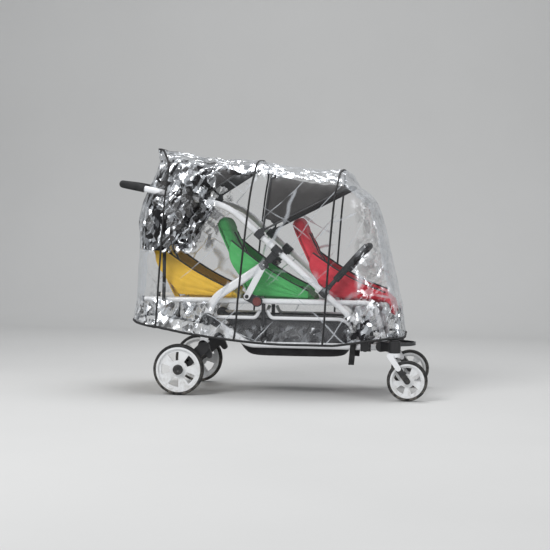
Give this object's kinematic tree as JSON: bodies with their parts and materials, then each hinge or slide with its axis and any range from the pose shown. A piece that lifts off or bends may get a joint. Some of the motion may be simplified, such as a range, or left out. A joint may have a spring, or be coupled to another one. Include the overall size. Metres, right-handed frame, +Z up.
{
  "type": "three-seat tandem stroller",
  "caption": "Tandem stroller with a folding tube frame, padded seats in a row, hoods, bumper bar, basket, swivel castors and a clear rain cover.",
  "frame": {"origin": "on the ground, under the middle of the object's box", "axes": "+X forwards, +Y to the rider's left, +Z up"},
  "size_m": [1.4131, 0.6034, 1.112],
  "materials": {
    "white_paint": "gloss",
    "white_plastic": "satin",
    "tyre": "matte",
    "grey_metal": "satin",
    "grey_plastic": "satin",
    "red_plastic": "gloss",
    "yellow_fabric": "woven",
    "green_fabric": "woven",
    "red_fabric": "woven",
    "hood_fabric": "woven",
    "basket_fabric": "mesh",
    "black_foam": "matte",
    "clear_film": "gloss",
    "black_plastic": "satin"
  },
  "bodies": {
    "chassis": {"lower_rails": "white_paint", "seat_rails": "white_paint", "rail_fittings": "black_plastic", "cross_tubes": "grey_metal", "knuckle_eyes": "black_plastic", "pivot_brackets": "black_plastic", "castor_brackets": "black_plastic", "footrest": "black_plastic", "basket": "basket_fabric", "basket_rims": "grey_metal", "rear_cushion": "yellow_fabric", "middle_cushion": "green_fabric", "front_cushion": "red_fabric", "harness_buckles": "black_plastic", "rain_cover": "clear_film", "rear_wings": "yellow_fabric", "middle_wings": "green_fabric", "front_wings": "red_fabric"},
    "push_bar": {"push_arms": "white_paint", "handle_bar": "white_paint", "handle_grip": "black_foam", "leg_brackets": "black_plastic", "hood_clamps": "black_plastic", "bumper_clamps": "black_plastic", "front_hood": "hood_fabric", "rear_hood": "hood_fabric", "hood_back_bows": "black_plastic"},
    "front_bow": {"front_hood_bow": "black_plastic"},
    "rear_bow": {"rear_hood_bow": "black_plastic"},
    "bumper": {"bumper_tube": "black_plastic", "bumper_foam": "black_foam"},
    "rear_legs": {"rear_leg_tubes": "white_paint", "leg_collars": "grey_plastic", "leg_caps": "black_plastic", "lock_struts": "white_paint", "latch_plates": "black_plastic", "wheel_brackets": "black_plastic", "rear_axle": "grey_metal"},
    "brake": {"brake_bar": "black_plastic"},
    "release_right": {"release_button_right": "red_plastic"},
    "release_left": {"release_button_left": "red_plastic"},
    "rear_wheel_right": {"rear_rim_right": "white_plastic", "rear_tyre_right": "tyre"},
    "rear_wheel_left": {"rear_rim_left": "white_plastic", "rear_tyre_left": "tyre"},
    "castor_right": {"castor_fork_right": "white_paint", "fork_feet_right": "black_plastic"},
    "castor_left": {"castor_fork_left": "white_paint", "fork_feet_left": "black_plastic"},
    "front_wheel_right": {"front_rim_right": "white_plastic", "front_tyre_right": "tyre"},
    "front_wheel_left": {"front_rim_left": "white_plastic", "front_tyre_left": "tyre"},
    "rear_seat_back": {"rear_back_pad": "yellow_fabric", "rear_back_board": "black_plastic"},
    "middle_seat_back": {"middle_back_pad": "green_fabric", "middle_back_board": "black_plastic"},
    "front_seat_back": {"front_back_pad": "red_fabric", "front_back_board": "black_plastic"}
  },
  "joints": [
    {"name": "frame_fold", "type": "hinge", "parent": "chassis", "child": "push_bar", "pos_m": [0.40251, 0, 0.325], "axis": [0, -1, 0], "range_deg": [0, 22], "deforming": ["rain_cover", "front_wings", "middle_wings", "rear_wings", "rear_hood", "front_hood"]},
    {"name": "rear_leg_fold", "type": "hinge", "parent": "chassis", "child": "rear_legs", "pos_m": [-0.28349, 0, 0.342], "axis": [0, 1, 0], "range_deg": [0, 39.6]},
    {"name": "front_hood_fold", "type": "hinge", "parent": "push_bar", "child": "front_bow", "pos_m": [-0.03649, 0, 0.74513], "axis": [0, -1, 0], "range_deg": [0, 45], "deforming": ["front_hood"]},
    {"name": "rear_hood_fold", "type": "hinge", "parent": "push_bar", "child": "rear_bow", "pos_m": [-0.30314, 0, 0.89902], "axis": [0, -1, 0], "range_deg": [0, 60], "deforming": ["rear_hood"]},
    {"name": "bumper_swing", "type": "hinge", "parent": "push_bar", "child": "bumper", "pos_m": [0.26134, 0, 0.49327], "axis": [0, 1, 0], "range_deg": [0, 30]},
    {"name": "brake_pedal", "type": "hinge", "parent": "rear_legs", "child": "brake", "pos_m": [-0.36847, 0, 0.15408], "axis": [0, -1, 0], "range_deg": [0, 18], "stiffness_Nm_per_rad": 1.5},
    {"name": "release_press_right", "type": "slide", "parent": "rear_legs", "child": "release_right", "axis": [0, 1, 0], "range_m": [0, 0.005], "stiffness_N_per_m": 900},
    {"name": "release_press_left", "type": "slide", "parent": "rear_legs", "child": "release_left", "axis": [0, -1, 0], "range_m": [0, 0.005], "stiffness_N_per_m": 900},
    {"name": "rear_spin_right", "type": "hinge", "parent": "rear_legs", "child": "rear_wheel_right", "pos_m": [-0.40549, -0.265, 0.115], "axis": [0, 1, 0], "continuous": true},
    {"name": "rear_spin_left", "type": "hinge", "parent": "rear_legs", "child": "rear_wheel_left", "pos_m": [-0.40549, 0.265, 0.115], "axis": [0, 1, 0], "continuous": true},
    {"name": "castor_swivel_right", "type": "hinge", "parent": "chassis", "child": "castor_right", "pos_m": [0.55951, -0.265, 0.22], "axis": [0, 0, 1], "continuous": true},
    {"name": "castor_swivel_left", "type": "hinge", "parent": "chassis", "child": "castor_left", "pos_m": [0.55951, 0.265, 0.22], "axis": [0, 0, 1], "continuous": true},
    {"name": "front_spin_right", "type": "hinge", "parent": "castor_right", "child": "front_wheel_right", "pos_m": [0.61651, -0.265, 0.09], "axis": [0, 1, 0], "continuous": true},
    {"name": "front_spin_left", "type": "hinge", "parent": "castor_left", "child": "front_wheel_left", "pos_m": [0.61651, 0.265, 0.09], "axis": [0, 1, 0], "continuous": true},
    {"name": "rear_back_tilt", "type": "hinge", "parent": "chassis", "child": "rear_seat_back", "pos_m": [-0.41549, 0, 0.424], "axis": [0, 1, 0], "range_deg": [-10, 38], "deforming": ["rear_wings", "rear_hood", "rain_cover"]},
    {"name": "middle_back_tilt", "type": "hinge", "parent": "chassis", "child": "middle_seat_back", "pos_m": [-0.06949, 0, 0.424], "axis": [0, 1, 0], "range_deg": [-10, 38], "deforming": ["middle_wings"]},
    {"name": "front_back_tilt", "type": "hinge", "parent": "chassis", "child": "front_seat_back", "pos_m": [0.27651, 0, 0.424], "axis": [0, 1, 0], "range_deg": [-10, 38], "deforming": ["front_wings"]}
  ],
  "couplings": [
    {"joint": "rear_leg_fold", "follows": "frame_fold", "ratio": 1.7999}
  ]
}
